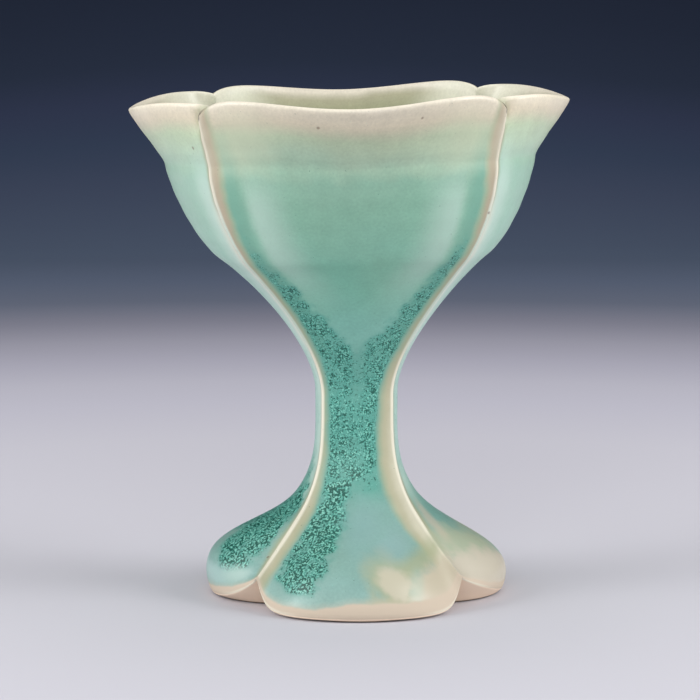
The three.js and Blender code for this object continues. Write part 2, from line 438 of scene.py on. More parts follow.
def rings_along(spans: Sequence[Span], shares: Sequence[float], shape: Shape) -> list[Ring]:
    """Rings along two matching spans.

    Args:
        spans: The span at mid lobe and the one at the corner.
        shares: How far along each ring lies.
        shape: Gives a ring's crest, cleft and hump from its height.

    Returns:
        One ring for each share.
    """
    places = [[span.at(share) for span in spans] for share in shares]
    return [Ring(*place, **shape(place[0].y)) for place in places]


def steps(start: float, end: float, count: int) -> list[float]:
    """Even steps from start up to, but not with, end."""
    return [lerp(start, end, i / count) for i in range(count)]


def flat_circle(reach: float, height: float, skin: Skin, crisp: bool = False) -> Ring:
    """A plain round ring."""
    at = Vector((reach, height))
    return Ring(at, at.copy(), skin=skin, crisp=crisp)


def rounded(before: Vector, edge: Vector, after: Vector, share: float) -> Vector:
    """A point on the soft corner that runs from before, past edge, to after."""
    rest = 1 - share
    return before * (rest * rest) + edge * (2 * rest * share) + after * (share * share)


@dataclass(frozen=True)
class Patch:
    """A soft oval of another colour: its middle and reach across and up, in millimetres.

    Its edge fades over its softness, a share of its reach, and its slant is how far it leans aside going up.
    """

    colour: Colour
    middle: tuple[float, float]
    reach: tuple[float, float]
    strength: float = 1.0
    softness: float = 0.3
    slant: float = 0.0


@dataclass(frozen=True)
class Break:
    """How wide the glaze breaks beside the left and right crests at a height, and its line's strength."""

    height: float
    left: float
    right: float
    line: float


@dataclass(frozen=True)
class Growth:
    """Where crystals grow on a front or back lobe at a height, in millimetres.

    They reach a way in from each crest, and keep within half a width of a middle.
    """

    height: float
    reach: float
    middle: float
    half_width: float


@dataclass(frozen=True)
class CrystalGlaze:
    """The green glaze that thins to cream on every edge and grows dark crystals where it pools."""

    name: str
    roughness: float = 0.34
    outside: Tones = (
        (0, (144, 178, 168)),
        (10, (136, 174, 166)),
        (20, (134, 171, 161)),
        (30, (124, 167, 156)),
        (42, (108, 163, 150)),
        (80, (110, 165, 152)),
        (95, (129, 184, 170)),
        (112, (126, 183, 162)),
        (127, (130, 182, 159)),
        (142, (130, 176, 152)),
        (151, (136, 177, 154)),
        (159, (163, 187, 162)),
        (164, (175, 190, 160)),
        (167.2, (194, 189, 164)),
        (168.6, (205, 195, 171)),
        (173.4, (213, 204, 183)),
        # The top stop lightens the rolled lip: glaze thinned to cream, with the lip's highlight painted in.
        (174.2, (228, 219, 200)),
    )
    inside: Tones = (
        (80, (84, 146, 132)),
        (95, (98, 154, 138)),
        (125, (120, 160, 136)),
        (148, (136, 156, 124)),
        (160, (144, 152, 120)),
        (167, (148, 149, 118)),
        (171, (158, 155, 128)),
        (172.6, (184, 178, 158)),
        (173.5, (214, 205, 188)),
    )
    breaks: tuple[Break, ...] = (
        Break(0, 2.6, 4.8, 0.7),
        Break(10, 2.8, 5.2, 0.8),
        Break(17, 2.8, 5.0, 1.0),
        Break(25, 2.4, 5.2, 1.0),
        Break(35, 1.9, 5.0, 1.0),
        Break(45, 1.1, 4.4, 1.0),
        Break(60, 0.3, 3.6, 1.0),
        Break(75, 0.3, 2.6, 1.0),
        Break(90, 0.4, 1.2, 1.0),
        Break(110, 0.7, 1.0, 1.0),
        Break(125, 1.4, 1.4, 1.0),
        Break(135, 2.2, 2.0, 1.0),
        Break(147, 2.9, 2.6, 0.9),
        Break(157, 3.3, 3.0, 0.6),
        Break(173, 4.2, 4.0, 0.4),
    )
    growths: tuple[Growth, ...] = (
        Growth(0, 40, -21, 4),
        Growth(8, 40, -21, 4.5),
        Growth(11.5, 40, -21.8, 6.5),
        Growth(15.5, 40, -20, 6),
        Growth(19, 40, -18, 6),
        Growth(22, 40, -16, 6.3),
        Growth(26, 40, -13.4, 6.5),
        Growth(32, 40, -10.7, 5.5),
        Growth(38, 40, -9, 4.8),
        Growth(43, 40, -6, 8),
        Growth(48, 40, -2, 12),
        Growth(54, 40, 0, 14),
        Growth(62, 40, 0, 38),
        Growth(79, 38, 0, 38),
        Growth(88, 15, 0, 38),
        Growth(97, 11, 0, 38),
        Growth(108, 8.5, 0, 38),
        Growth(125, 6, 0, 38),
        Growth(140, 4, 0, 38),
        Growth(155, 0, 0, 38),
    )
    front_patches: tuple[Patch, ...] = (
        Patch((188, 182, 152), (17, 5.5), (15, 4), 0.8, 0.45),
        Patch((170, 174, 143), (10.5, 13), (8, 7.5), 0.85, 0.45, -0.5),
        Patch((164, 170, 136), (20.5, 17.2), (8.5, 3.4), 0.8, 0.75, 1.2),
        Patch((196, 186, 163), (28, 8.5), (11, 7), 1.0, 0.4),
        Patch((176, 190, 170), (19.4, 9.5), (2.4, 6), 0.6, 0.7),
        Patch((197, 191, 168), (11.6, 12.2), (5.4, 4.8), 1.0, 0.32, -0.6),
        Patch((146, 178, 180), (2, 27), (7, 8), 0.4, 0.8),
        Patch((148, 180, 184), (12.5, 22.5), (5, 4.5), 0.4, 0.8),
        Patch((190, 196, 168), (-37, 162), (9, 8), 0.5, 0.9),
        Patch((188, 194, 166), (38, 161.5), (9, 7.5), 0.45, 0.9),
    )
    flank_patches: tuple[Patch, ...] = (
        Patch((176, 182, 155), (14, 18), (26, 6), 0.85, 0.5),
        Patch((199, 191, 173), (16, 8), (32, 8.5), 1.0, 0.28),
        Patch((200, 186, 166), (7, 27), (3, 6), 0.6, 0.6),
    )
    left_patches: tuple[Patch, ...] = (
        Patch((176, 204, 200), (24, 9), (17, 3.4), 0.6, 0.6),
        Patch((176, 202, 190), (13, 9), (6, 3), 0.5, 0.6),
    )
    crystal_pool: Patch = Patch((0, 76, 64), (16, 14.2), (9.5, 3.8), softness=0.4)
    pits: tuple[tuple[float, float, float], ...] = (
        (-54.0, -42.8, 160.5),
        (45.2, -45.5, 137.9),
        (-31.7, -29.0, 14.8),
        (-12.0, -73.2, 168.2),
        (22.4, -71.5, 169.4),
        (56.0, 40.0, 158.0),
        (-30.0, 64.0, 150.0),
    )
    # Cream of glaze thinned on crests and edges, with their highlight painted in.
    line: Colour = (230, 224, 204)
    tan: Colour = (180, 168, 144)
    cream: Colour = (180, 176, 148)
    olive: Colour = (164, 170, 140)
    # The channel's green: glaze pooled beside the crests, with the channel's shade painted in.
    channel: Colour = (110, 162, 142)
    # Pale colour of the painted highlights and sheen on shoulders, side lobes and crests.
    pale: Colour = (192, 214, 201)
    field: Colour = (72, 155, 140)
    dark: Colour = (0, 76, 64)
    light: Colour = (138, 206, 188)
    inner_corner: Colour = (216, 213, 194)
    pit: Colour = (112, 88, 70)
    clay: Colour = (206, 190, 170)
    # A lighter copy of the clay colour for the cut facets: painted light that lifts their shade.
    cut: Colour = (246, 222, 198)
    # Painted contact shadow along the bottom edge of the foot.
    contact: Colour = (92, 72, 58)


def summed(operation: str) -> Callable[..., "Signal"]:
    """Makes a method of Signal that joins it with another signal or a number by a math node."""

    def join(self: "Signal", other: "Signal | float" = 0.0) -> "Signal":
        """Adds the math node and returns what comes out."""
        return self.into("Math", {0: self, 1: other}, operation=operation)

    return join


class Signal:
    """What flows out of a node. Each sum on it adds the node that works it out."""

    def __init__(self, socket: bpy.types.NodeSocket) -> None:
        """Keeps the node's output."""
        self.socket = socket

    __add__ = summed("ADD")
    __sub__ = summed("SUBTRACT")
    __mul__ = summed("MULTIPLY")
    __truediv__ = summed("DIVIDE")
    __abs__ = summed("ABSOLUTE")
    above = summed("GREATER_THAN")
    most = summed("MAXIMUM")
    least = summed("MINIMUM")

    def __rsub__(self, other: float) -> "Signal":
        """Takes the signal away from a number."""
        return self.into("Math", {0: other, 1: self}, operation="SUBTRACT")

    def into(self, kind: str, inputs: Feeds, output: str | int = 0, **settings: object) -> "Signal":
        """Adds a node to this signal's tree, as add_node does, and gives what flows out of one output."""
        return Signal(add_node(self.socket.id_data, kind, inputs, **settings).outputs[output])

    def parts(self) -> list["Signal"]:
        """The three parts of a place."""
        apart = self.into("SeparateXYZ", {0: self}).socket.node
        return [Signal(part) for part in apart.outputs]

    def slide(
        self, low: "Link", high: "Link", to_low: "Link", to_high: "Link", way: str = "LINEAR"
    ) -> "Signal":
        """Maps evenly from one range to another, held at both ends."""
        feeds = {0: self, 1: low, 2: high, 3: to_low, 4: to_high}
        return self.into("MapRange", feeds, interpolation_type=way)

    def ease(self, low: "Link", high: "Link", to_low: float = 0.0, to_high: float = 1.0) -> "Signal":
        """Eases smoothly from to_low at low to to_high at high."""
        return self.slide(low, high, to_low, to_high, "SMOOTHSTEP")

    def blend(self, first: object, second: object) -> "Signal":
        """Mixes two colours, with this as the share of the second."""
        return self.into("Mix", {0: self, 6: first, 7: second}, 2, data_type="RGBA")

    def mingle(self, first: "Link", second: "Link") -> "Signal":
        """Mixes two numbers, with this as the share of the second."""
        return self.into("Mix", {0: self, 2: first, 3: second}, data_type="FLOAT")

    def scaled(self, factor: "Link") -> "Signal":
        """A colour made lighter or darker."""
        return self.into("VectorMath", {0: self, "Scale": factor}, operation="SCALE")

    def cloud(self, size: float, detail: float, stretch: Sequence[float] = EVENLY) -> "Signal":
        """Soft noise round 0.5, read at this place.

        Args:
            size: Size of a lump in millimetres.
            detail: How many finer layers it has.
            stretch: Factor on the pattern's fineness along each axis.

        Returns:
            The noise.
        """
        scaled = self.into("VectorMath", {0: self, 1: tuple(s / size for s in stretch)}, operation="MULTIPLY")
        feeds = {"Vector": scaled, "Scale": 1.0, "Detail": detail, "Roughness": 0.55}
        return self.into("TexNoise", feeds, "Fac")

    def drift(self, size: float, detail: float, swing: float, stretch: Sequence[float] = EVENLY) -> "Signal":
        """Soft noise from minus to plus a swing, with lumps as cloud makes them."""
        return self.cloud(size, detail, stretch).slide(0.3, 0.7, -swing, swing)

    def ramp(self, stops: Sequence[tuple[float, Sequence[float]]]) -> "Signal":
        """The colour of a ramp, whose stops are places from 0 to 1 and linear colours, in order."""
        made = self.into("ValToRGB", {"Fac": self})
        elements = made.socket.node.color_ramp.elements
        elements[0].position, elements[0].color = stops[0]
        elements[1].position, elements[1].color = stops[-1]
        for position, colour in stops[1:-1]:
            elements.new(position).color = colour
        return made

    def tones(self, tones: Tones, most: float) -> "Signal":
        """The colour that a table of tones up to a greatest value has for this value."""
        return (self / most).ramp([(at / most, linear(colour)) for at, colour in tones])

    def table(self, rows: Sequence[Sequence[float]]) -> list["Signal"]:
        """Looks up by this height three numbers from 0 to 1, which each row gives after its height."""
        looked_up = (self / TALLEST).ramp([(at / TALLEST, (*numbers, 1.0)) for at, *numbers in rows])
        apart = self.into("SeparateColor", {0: looked_up}).socket.node
        return [Signal(part) for part in apart.outputs]


Link = Signal | float


def feed(socket: bpy.types.NodeSocket, value: object) -> None:
    """Links an input to a signal, or sets its own value."""
    if isinstance(value, Signal):
        socket.id_data.links.new(value.socket, socket)
    else:
        socket.default_value = value


def add_node(tree: Tree, kind: str, inputs: Feeds | None = None, **settings: object) -> bpy.types.Node:
    """Adds a node.

    Args:
        tree: Where it goes.
        kind: Its type name, after ShaderNode.
        inputs: What each input is fed with, by name or number.
        settings: Its properties.

    Returns:
        The node.
    """
    made = tree.nodes.new("ShaderNode" + kind)
    for name, value in settings.items():
        setattr(made, name, value)
    for name, value in (inputs or {}).items():
        feed(made.inputs[name], value)
    return made


def oval(across: Signal, height: Signal, patch: Patch, wobble: Link = 0.0) -> Signal:
    """A soft oval mask.

    Args:
        across: How far across the point lies.
        height: How high it lies.
        patch: The oval.
        wobble: Added to the distance, to make the edge uneven.

    Returns:
        1 inside, 0 outside.
    """
    up = height - patch.middle[1]
    aside = across - patch.middle[0] - up * patch.slant
    offset = up.into("CombineXYZ", {0: aside / patch.reach[0], 1: up / patch.reach[1]})
    away = up.into("VectorMath", {0: offset}, "Value", operation="LENGTH")
    return (away + wobble).ease(1 + patch.softness, 1 - patch.softness)


class Effect:
    """A shader node group. The names of its inputs and outputs tell what they carry: most carry colours."""

    PLACES = ("Thrown", "Place")
    NUMBERS = "Crest Width Density Across Amount Bare Depth Relief Sideways Height Facing Right".split()

    def __init__(self, name: str, inputs: str, outputs: str) -> None:
        """Makes the group and its sockets.

        Args:
            name: Name of the group.
            inputs: Names of its inputs.
            outputs: Names of its outputs.
        """
        self.tree = bpy.data.node_groups.new(name, "ShaderNodeTree")
        for way, names in (("INPUT", inputs), ("OUTPUT", outputs)):
            for socket in names.split():
                kind = "Vector" if socket in self.PLACES else "Float" if socket in self.NUMBERS else "Color"
                self.tree.interface.new_socket(socket, in_out=way, socket_type="NodeSocket" + kind)
        given = self.tree.nodes.new("NodeGroupInput").outputs
        self.given = [Signal(given[socket]) for socket in inputs.split()]
        self.result = self.tree.nodes.new("NodeGroupOutput").inputs

    def give(self, **values: Link) -> None:
        """Feeds the group's outputs."""
        for name, value in values.items():
            feed(self.result[name], value)

    def placed(self, tree: Tree, glaze: CrystalGlaze | None = None, **feeds: Link) -> dict[str, Signal]:
        """Places the group in a tree.

        Args:
            tree: Where it goes.
            glaze: Gives the colour of every input that has no feed, by the input's name.
            feeds: What flows into the other inputs.

        Returns:
            Its outputs by name.
        """
        made = add_node(tree, "Group", node_tree=self.tree)
        for socket in made.inputs:
            own = socket.name in feeds
            feed(socket, feeds[socket.name] if own else linear(getattr(glaze, socket.name.lower())))
        return {socket.name: Signal(socket) for socket in made.outputs}


class GlazeKitchen:
    """Mixes the materials of the glazed pieces from effects that they share, each built once.

    A ramp holds numbers from 0 to 1 only, so each kind of width is kept there as a share of its widest.
    """

    WIDEST_BREAK = 8
    WIDEST_GROWTH = 40
    WIDEST_ASIDE = 60

    def __init__(self) -> None:
        """Builds the shared effects. The tables of the glaze say where each one shows."""
        glaze = CrystalGlaze("shared")
        self.side = self._side()
        self.crest_break = self._crest_break(glaze.breaks)
        self.field = self._field(glaze.growths, glaze.crystal_pool)
        self.crystals = self._crystals()
        self.front_patches = self._patches("Front patches", glaze.front_patches)
        self.flank_patches = self._patches("Flank patches", glaze.flank_patches)
        self.left_patches = self._patches("Left patches", glaze.left_patches)
        self.bare_edge = self._bare_edge()
        self.pinholes = self._pinholes(glaze.pits)

    def _side(self) -> Effect:
        """Which way a point faces: sideways reach, height, 1 on the front and back lobes, 1 on the right."""
        effect = Effect("Side of vase", "Thrown", "Sideways Height Facing Right")
        sideways, deep, height = effect.given[0].parts()
        facing = abs(deep).above(abs(sideways))
        effect.give(Sideways=sideways, Height=height, Facing=facing, Right=sideways.above(0.0))
        return effect

    def _sided(self, thrown: Signal) -> Sequence[Signal]:
        """The four outputs of the side group, placed beside the thrown place that it reads."""
        return list(self.side.placed(thrown.socket.id_data, Thrown=thrown).values())

    def _crest_break(self, breaks: Sequence[Break]) -> Effect:
        """The glaze thins over a crest: cream line, tan band, olive fade, green channel; with painted
        highlight, sheen and shade.
        """
        names = "Colour Thrown Crest Line Tan Cream Olive Channel Pale"
        effect = Effect("Crest break", names, "Colour Width")
        colour, thrown, ridge, line, tan, cream, olive, channel, pale = effect.given
        _, height, facing, right = self._sided(thrown)
        widest = self.WIDEST_BREAK
        rows = [(each.height, each.left / widest, each.right / widest, each.line) for each in breaks]
        left_width, right_width, strength = height.table(rows)
        width = right.mingle(left_width, right_width) * widest * facing.slide(0, 1, 0.3, 1.0)
        crest = ridge + thrown.drift(8, 3, 0.5)
        beyond = crest - width

        low = height.ease(82, 94)
        # Painted highlight: a pale band on the convex shoulders of the front and back lobes, beyond the
        # channel.
        shoulder_highlight = beyond.ease(6, 11) * beyond.ease(26, 12) * (low * height.ease(158, 140) * facing)
        colour = (shoulder_highlight * height.ease(100, 128, 0.0, 0.52)).blend(colour, pale)
        # The channel beside the crest darkens: glaze pooled there, with the channel's shade painted in.
        pooled_and_shaded = beyond.ease(0.5, 2.4) * beyond.ease(9, 4) * (low * height.ease(170, 146) * facing)
        colour = (pooled_and_shaded * 0.7).blend(colour, channel)
        # Painted sheen: the side lobes turn pale towards their crests, where side light catches them.
        flank = height.ease(28, 42) * height.ease(166, 148) * crest.ease(15, 5, 0.3, 0.75)
        colour = (flank * (1 - facing)).blend(colour, pale)

        colour = (beyond.ease(2.8, -0.2) * 0.85).blend(colour, olive)
        band = beyond.ease(-0.8, -4.4, 0.0, 0.5).blend(height.ease(92, 116).blend(cream, tan), line)
        colour = beyond.ease(0.9, -1.2).blend(colour, band)
        # Painted sheen: a silvery pale line beside the side lobes' crests on the lower bowl.
        silver_sheen = height.ease(84, 96) * height.ease(150, 132)
        colour = (silver_sheen * crest.ease(7, 2) * (1 - facing) * 0.5).blend(colour, line)
        # The crest line: glaze breaks to cream on the ridge, with its thin highlight painted in.
        crowned = (ridge.ease(0.95, 0.3) * strength).blend(colour, (silver_sheen * 0.7).blend(line, pale))
        effect.give(Colour=crowned, Width=width)
        return effect

    def _field(self, growths: Sequence[Growth], crystal_pool: Patch) -> Effect:
        """Where crystals grow: beside the bowl's crests, round the stem and down the left of the foot."""
        effect = Effect("Crystal field", "Thrown Crest Width", "Density")
        thrown, crest, width = effect.given
        sideways, height, facing, right = self._sided(thrown)
        widest, aside = self.WIDEST_GROWTH, self.WIDEST_ASIDE
        rows = [
            (each.height, each.reach / widest, each.middle / aside + 0.5, each.half_width / widest)
            for each in growths
        ]
        reach, middle, half_width = height.table(rows)
        reach, middle, half_width = reach * widest, (middle - 0.5) * aside, half_width * widest
        drift = thrown.drift(5, 4, 2.4)
        wandering = crest + drift

        near = (crest - width).ease(0.6, 2.6)
        far = wandering.ease(reach + 2, reach - 2)
        band = (abs(sideways - middle) + drift).ease(half_width + 3.2, half_width - 2.6)
        sparse = sideways.ease(11, 5, 0.0, 0.6) * height.ease(34, 42)
        clear = abs(sideways).ease(4, 1, 0.0, 0.4) * (height.ease(64, 76) * height.ease(100, 90))
        front = band.most(sparse) * (near * far) * (1 - clear)

        streak = abs(wandering - 9).ease(6, 3) * (height.ease(13, 18) * height.ease(60, 28, 0.35, 1.0))
        pool = oval(wandering, height, crystal_pool)
        patchy = wandering.ease(4, 8) * wandering.ease(31, 24)
        patchy = patchy * (height.ease(14, 18) * height.ease(44, 26, 0.4, 0.95))
        left = streak.most(pool).most(patchy)
        flank = right.mingle(left, height.ease(40, 50, 0.0, 0.35)) * height.ease(96, 78)
        amount = height.ease(6.5, 10) * height.ease(160, 104) * height.ease(50, 36, 1.0, 1.3)
        effect.give(Density=facing.mingle(flank, front) * amount)
        return effect

    def _crystals(self) -> Effect:
        """Dark and light specks, as many as the density asks for, a little coarser on the foot."""
        effect = Effect("Crystal speckle", "Colour Place Density Field Dark Light", "Colour Relief")
        colour, place, density, field, dark, light = effect.given
        density = (density * place.cloud(3.5, 2).slide(0.35, 0.65, 0.7, 1.25)).least(1.5)
        grain = place.parts()[2].ease(46, 36).mingle(place.cloud(0.5, 2), place.cloud(0.74, 2))
        cells = place.into("TexVoronoi", {"Vector": place, "Scale": 1.15, "Randomness": 1.0}, "Distance")
        bright = grain + 0.17 - cells * 0.32
        low, high = density.slide(0, 1.5, 0.2, 0.55), density.slide(0, 1.5, 0.8, 0.47)
        sunk, raised = bright.ease(low + 0.05, low - 0.04), bright.ease(high, high + 0.1)
        colour = density.slide(0, 1.2, 0, 0.9).blend(colour, field)
        colour = (raised * 0.8).blend(colour, light)
        colour = (sunk * density.slide(0.2, 0.8, 0.6, 0.92)).blend(colour, dark)
        effect.give(Colour=colour, Relief=raised - sunk)
        return effect

    def _patches(self, name: str, patches: Sequence[Patch]) -> Effect:
        """Soft patches of other colours, one over the other."""
        effect = Effect(name, "Colour Thrown Across Amount", "Colour")
        colour, thrown, across, amount = effect.given
        height, wobble = thrown.parts()[2], thrown.drift(7, 3, 0.22)
        for patch in patches:
            share = oval(across, height, patch, wobble) * patch.strength * amount
            colour = share.blend(colour, linear(patch.colour))
        effect.give(Colour=colour)
        return effect

    def _bare_edge(self) -> Effect:
        """The glaze thins to cream near the foot's edge and stops, bare clay shows below; edge highlight,
        facet light and contact shadow are painted.
        """
        names = "Colour Thrown Place Crest Bare Line Clay Cut Contact"
        effect = Effect("Bare edge", names, "Colour Bare")
        colour, thrown, place, crest, bare, line, clay, cut, contact = effect.given
        sideways, height, facing, _ = self._sided(thrown)
        above = height + thrown.drift(9, 2, 0.5) - 4.3 - sideways.ease(-18, -2, 0.0, 2.2) * facing
        colour = above.ease(2.4, 0.2, 0.0, 0.25).blend(colour, clay)
        # The cut facets take the lighter copy of the clay colour, painted light that lifts their shade.
        on_cut = bare.ease(0.6, 1.0)
        # A cream line along the petal edges: glaze thinned on the edge, with the rounded edge's highlight
        # painted in.
        edge_line_and_highlight = height.ease(2.6, 1.6) * height.ease(0.9, 1.2) * crest.ease(24, 8) * 0.8
        below = above.ease(0.6, -0.6).most(on_cut)
        colour = below.blend(colour, edge_line_and_highlight.blend(on_cut.blend(clay, cut), line))
        # Painted contact shadow: the bottom 0.9 mm of the foot darkens towards the floor.
        painted_contact_shadow = place.parts()[2].ease(0.9, 0.3) * height.ease(20, 10)
        effect.give(Colour=(painted_contact_shadow * 0.95).blend(colour, contact), Bare=below)
        return effect

    def _pinholes(self, pits: Sequence[tuple[float, float, float]]) -> Effect:
        """A few tiny brown pinholes far apart."""
        effect = Effect("Pinholes", "Colour Thrown Pit", "Colour Depth")
        colour, thrown, brown = effect.given
        nearest = 9.0
        for place in pits:
            away = thrown.into("VectorMath", {0: thrown, 1: place}, "Value", operation="DISTANCE")
            nearest = away.least(nearest)
        pit = nearest.ease(0.75, 0.3)
        effect.give(Colour=(pit * 0.6).blend(colour, brown), Depth=pit)
        return effect

    def mix(self, glaze: CrystalGlaze) -> bpy.types.Material:
        """Makes the material of one glaze.

        Args:
            glaze: Its colours.

        Returns:
            The material.
        """
        material = bpy.data.materials.new(glaze.name)
        material.use_nodes = True
        tree = material.node_tree
        tree.nodes.clear()
        read = (("thrown", "Vector"), ("crest", "Fac"), ("inside", "Fac"), ("bare", "Fac"))
        made = [add_node(tree, "Attribute", attribute_name=name).outputs[output] for name, output in read]
        thrown, crest, inside, bare = map(Signal, made)
        solid = Signal(add_node(tree, "TexCoord").outputs["Object"])
        place = solid.into("VectorMath", {0: solid, 1: (1 / MM,) * 3}, operation="MULTIPLY")
        side = self.side.placed(tree, Thrown=thrown)
        facing, height = side["Facing"], side["Height"]

        tone = self._tone(glaze, thrown, crest, inside, facing)
        outside = 1 - inside
        breaks = self.crest_break.placed(tree, glaze, Colour=tone, Thrown=thrown, Crest=crest)
        growth = self.field.placed(tree, Thrown=thrown, Crest=crest, Width=breaks["Width"])
        density = growth["Density"] * outside
        crystals = self.crystals.placed(tree, glaze, Colour=breaks["Colour"], Place=place, Density=density)
        colour = outside.blend(tone, crystals["Colour"])
        on_right = (1 - facing) * side["Right"]
        for patches, across, amount in (
            (self.front_patches, side["Sideways"], facing),
            (self.flank_patches, crest, on_right),
            (self.left_patches, crest, 1 - facing - on_right),
        ):
            patched = patches.placed(tree, Colour=colour, Thrown=thrown, Across=across, Amount=amount)
            colour = patched["Colour"]
        holes = self.pinholes.placed(tree, glaze, Colour=colour, Thrown=thrown)
        on_edge = {"Colour": holes["Colour"], "Thrown": thrown, "Place": place, "Crest": crest, "Bare": bare}
        edge = self.bare_edge.placed(tree, glaze, **on_edge)
        # Painted shade: a shadow line in the clefts at the lip, and the foot darkened below the stem.
        cleft_shadow = crest.ease(1.3, 0.3) * height.ease(171.6, 172.8)
        painted_shade = height.ease(60, 28, 1.0, 0.87) * cleft_shadow.slide(0, 1, 1.0, 0.35)

        satin = place.cloud(3, 4).slide(0.3, 0.7, glaze.roughness - 0.05, glaze.roughness + 0.07)
        relief = crystals["Relief"] * 0.35 + place.cloud(2.2, 2) * 0.6 + place.cloud(0.6, 3) * edge["Bare"]
        relief = relief - holes["Depth"] * 3.0
        feeds = {
            "IOR": 1.5,
            "Base Color": edge["Colour"].scaled(painted_shade),
            "Roughness": edge["Bare"].slide(0, 1, satin + inside * 0.06, 0.82),
            "Normal": relief.into("Bump", {"Strength": 0.5, "Distance": 0.06 * MM, "Height": relief}),
            "Coat Weight": inside * 0.1,
            "Coat Roughness": 0.08,
        }
        shader = Signal(add_node(tree, "BsdfPrincipled", feeds).outputs[0])
        add_node(tree, "OutputMaterial", {"Surface": shader})
        return material

    def _tone(
        self, glaze: CrystalGlaze, thrown: Signal, crest: Signal, inside: Signal, facing: Signal
    ) -> Signal:
        """The glaze's colour by height, uneven as it ran in the kiln, with painted light on the upper side
        lobes.

        Args:
            glaze: The glaze.
            thrown: The thrown place.
            crest: Distance from the nearest crest.
            inside: 1 on the inside of the bowl.
            facing: 1 on the front and back lobes.

        Returns:
            The colour.
        """
        height = thrown.parts()[2]
        slow = thrown.cloud(38, 3, (1, 1, 1.6)).slide(0.25, 0.75, -6, 6)
        uneven = height + slow * height.ease(150, 166, 1.0, 0.2)
        late = height.ease(158, 166) * height.ease(173, 171) * 1.2 * (1 - facing.most(inside))
        share = uneven - late
        outer, inner = share.tones(glaze.outside, TALLEST), share.tones(glaze.inside, TALLEST)
        near_corner = crest.ease(34, 12, 0.0, 0.8) * height.ease(128, 166)
        tone = inside.blend(outer, near_corner.blend(inner, linear(glaze.inner_corner)))
        streaks = thrown.drift(9, 3, 1.0, (0.25, 0.25, 4))
        ring = abs(height + streaks - 157.3).ease(1.1, 0.1, 1.0, 0.965)
        streaks_and_side_light = streaks * height.ease(138, 160, 0.0, 0.025) + 1.0
        broad = thrown.cloud(6, 5, (1, 1, 0.5)).slide(0.25, 0.75, 0.94, 1.06)
        fine = thrown.cloud(0.9, 2).slide(0.3, 0.7, 0.945, 1.055)
        # Painted light: the upper outside of the side lobes is lightened by up to a tenth.
        streaks_and_side_light = streaks_and_side_light + (1 - facing) * height.ease(148, 164, 0.0, 0.1) * (1 - inside)
        return tone.scaled(broad * fine * (ring * streaks_and_side_light))


@dataclass
class GlazedPiece:
    """What the three pieces of the vase have in common."""

    press: Press
    kitchen: GlazeKitchen

    def finish(self, name: str, rings: Sequence[Ring], node: str, slot: str) -> None:
        """Presses the piece, glazes it and puts it in its place on the frame.

        Args:
            name: Name of the piece.
            rings: Its thrown profile.
            node: The CAD node that it stands for.
            slot: The record's material slot. Not used.
        """
        piece = self.press.thrown(name, rings)
        glaze = CrystalGlaze(f"{node.replace('_', ' ')} glaze")
        piece.data.materials.append(self.kitchen.mix(glaze))
        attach(piece, "root")
        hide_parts(node)
        low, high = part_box(node)
        log.info("%s: %d faces, for node %s from %s to %s", name, len(piece.data.polygons), node, low, high)


